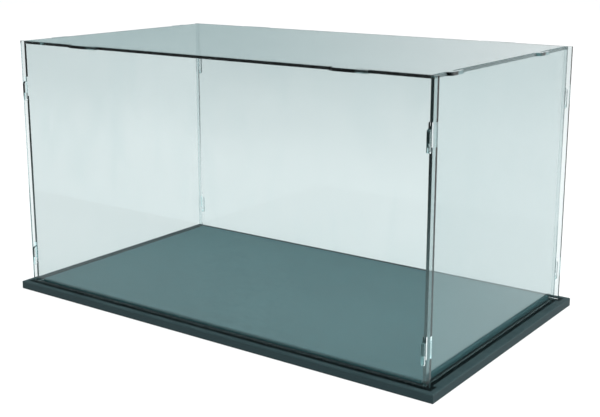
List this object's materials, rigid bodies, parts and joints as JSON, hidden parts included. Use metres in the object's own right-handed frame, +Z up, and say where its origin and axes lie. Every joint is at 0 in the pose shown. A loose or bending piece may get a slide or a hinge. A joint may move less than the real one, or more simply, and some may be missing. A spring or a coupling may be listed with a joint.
{
  "type": "display case",
  "caption": "Rectangular display case: clear sheets hook together at the corners into a cover that lifts off a dark stepped base with a raised floor for a scale model.",
  "frame": {"origin": "middle of the base board's underside, on the surface that the case stands on", "axes": "+X along the length of the case, -Y towards its front, +Z up"},
  "size_m": [0.342, 0.199, 0.1816],
  "materials": {
    "clear_sheet": "polished",
    "base_dark": "satin"
  },
  "bodies": {
    "base": {"base_board": "base_dark", "plinth_plate": "base_dark"},
    "cover": {"front_panel": "clear_sheet", "rear_panel": "clear_sheet", "left_panel": "clear_sheet", "right_panel": "clear_sheet", "top_panel": "clear_sheet"}
  },
  "joints": [
    {"name": "cover_lift", "type": "slide", "parent": "base", "child": "cover", "axis": [0, 0, 1], "range_m": [0, 0.19]}
  ]
}
